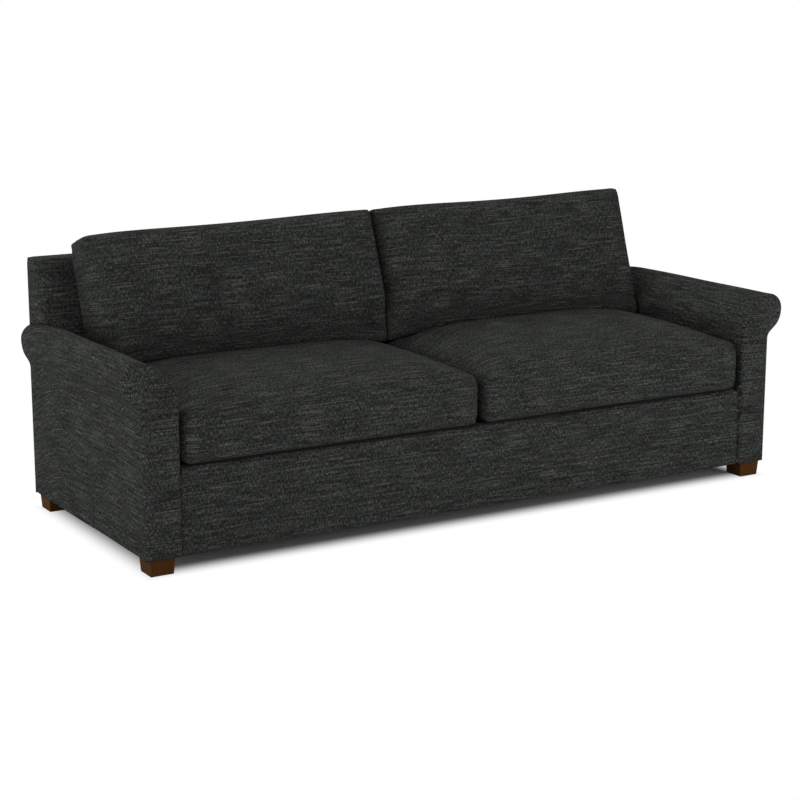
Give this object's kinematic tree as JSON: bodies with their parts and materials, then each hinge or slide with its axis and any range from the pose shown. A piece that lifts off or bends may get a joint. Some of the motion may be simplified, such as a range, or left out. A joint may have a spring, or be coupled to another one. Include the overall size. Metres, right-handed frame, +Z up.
{
  "type": "sofa",
  "caption": "Sofa with small rolled arms, loose boxed seat and back cushions in woven fabric, and short block legs; the cushions lift out.",
  "frame": {"origin": "on the floor under the middle of the sofa's overall box", "axes": "+X along the sofa to the right arm as seen from the front, the front faces -Y, +Z up"},
  "size_m": [2.4054, 0.9062, 0.9161],
  "materials": {
    "fabric": "matt charcoal slub weave",
    "leg_wood": "satin dark brown stain",
    "frame_wood": "sawn, unfinished",
    "plywood": "sanded, unfinished",
    "foam": "open-cell foam",
    "fibre": "needled fibre pad",
    "webbing": "woven webbing",
    "lining": "black lining cloth",
    "spring_steel": "oiled spring wire",
    "zinc": "zinc plated",
    "zip": "black zip and tape"
  },
  "bodies": {
    "root": {"left_arm_front_panel": "fabric", "left_arm_cover": "fabric", "left_arm_front_board": "plywood", "left_arm_rear_board": "plywood", "left_arm_top_rail": "frame_wood", "left_arm_tack_rail": "frame_wood", "left_side_rail": "frame_wood", "left_arm_pad": "foam", "right_arm_front_panel": "fabric", "right_arm_cover": "fabric", "right_arm_front_board": "plywood", "right_arm_rear_board": "plywood", "right_arm_top_rail": "frame_wood", "right_arm_tack_rail": "frame_wood", "right_side_rail": "frame_wood", "right_arm_pad": "foam", "front_seat_rail": "frame_wood", "rear_seat_rail": "frame_wood", "rear_spring_rail": "frame_wood", "centre_stretcher": "plywood", "left_front_corner_block": "frame_wood", "left_front_leg": "leg_wood", "left_front_leg_bolt": "zinc", "right_front_corner_block": "frame_wood", "right_front_leg": "leg_wood", "right_front_leg_bolt": "zinc", "left_rear_corner_block": "frame_wood", "left_rear_leg": "leg_wood", "left_rear_leg_bolt": "zinc", "right_rear_corner_block": "frame_wood", "right_rear_leg": "leg_wood", "right_rear_leg_bolt": "zinc", "left_back_post": "plywood", "centre_back_post": "plywood", "right_back_post": "plywood", "top_back_rail": "frame_wood", "lower_back_rail": "frame_wood", "back_webbing": "webbing", "back_pad": "foam", "back_cover": "fabric", "outside_back_panel": "fabric", "front_rail_cover": "fabric", "front_edge_roll": "foam", "deck_pad": "fibre", "deck_cloth": "lining", "dust_cover": "lining", "left_seat_springs": "spring_steel", "right_seat_springs": "spring_steel"},
    "left_seat_cushion": {"left_seat_cushion_cover": "fabric", "left_seat_cushion_zip": "zip", "left_seat_cushion_core": "foam"},
    "right_seat_cushion": {"right_seat_cushion_cover": "fabric", "right_seat_cushion_zip": "zip", "right_seat_cushion_core": "foam"},
    "left_back_cushion": {"left_back_cushion_cover": "fabric", "left_back_cushion_zip": "zip", "left_back_cushion_core": "foam"},
    "right_back_cushion": {"right_back_cushion_cover": "fabric", "right_back_cushion_zip": "zip", "right_back_cushion_core": "foam"}
  },
  "joints": [
    {"name": "left_seat_cushion_pull", "type": "slide", "parent": "root", "child": "left_seat_cushion", "axis": [0, -1, 0], "range_m": [0, 0.7]},
    {"name": "right_seat_cushion_pull", "type": "slide", "parent": "root", "child": "right_seat_cushion", "axis": [0, -1, 0], "range_m": [0, 0.7]},
    {"name": "left_back_cushion_lift", "type": "slide", "parent": "root", "child": "left_back_cushion", "axis": [0, 0, 1], "range_m": [0, 0.45]},
    {"name": "right_back_cushion_lift", "type": "slide", "parent": "root", "child": "right_back_cushion", "axis": [0, 0, 1], "range_m": [0, 0.45]}
  ]
}
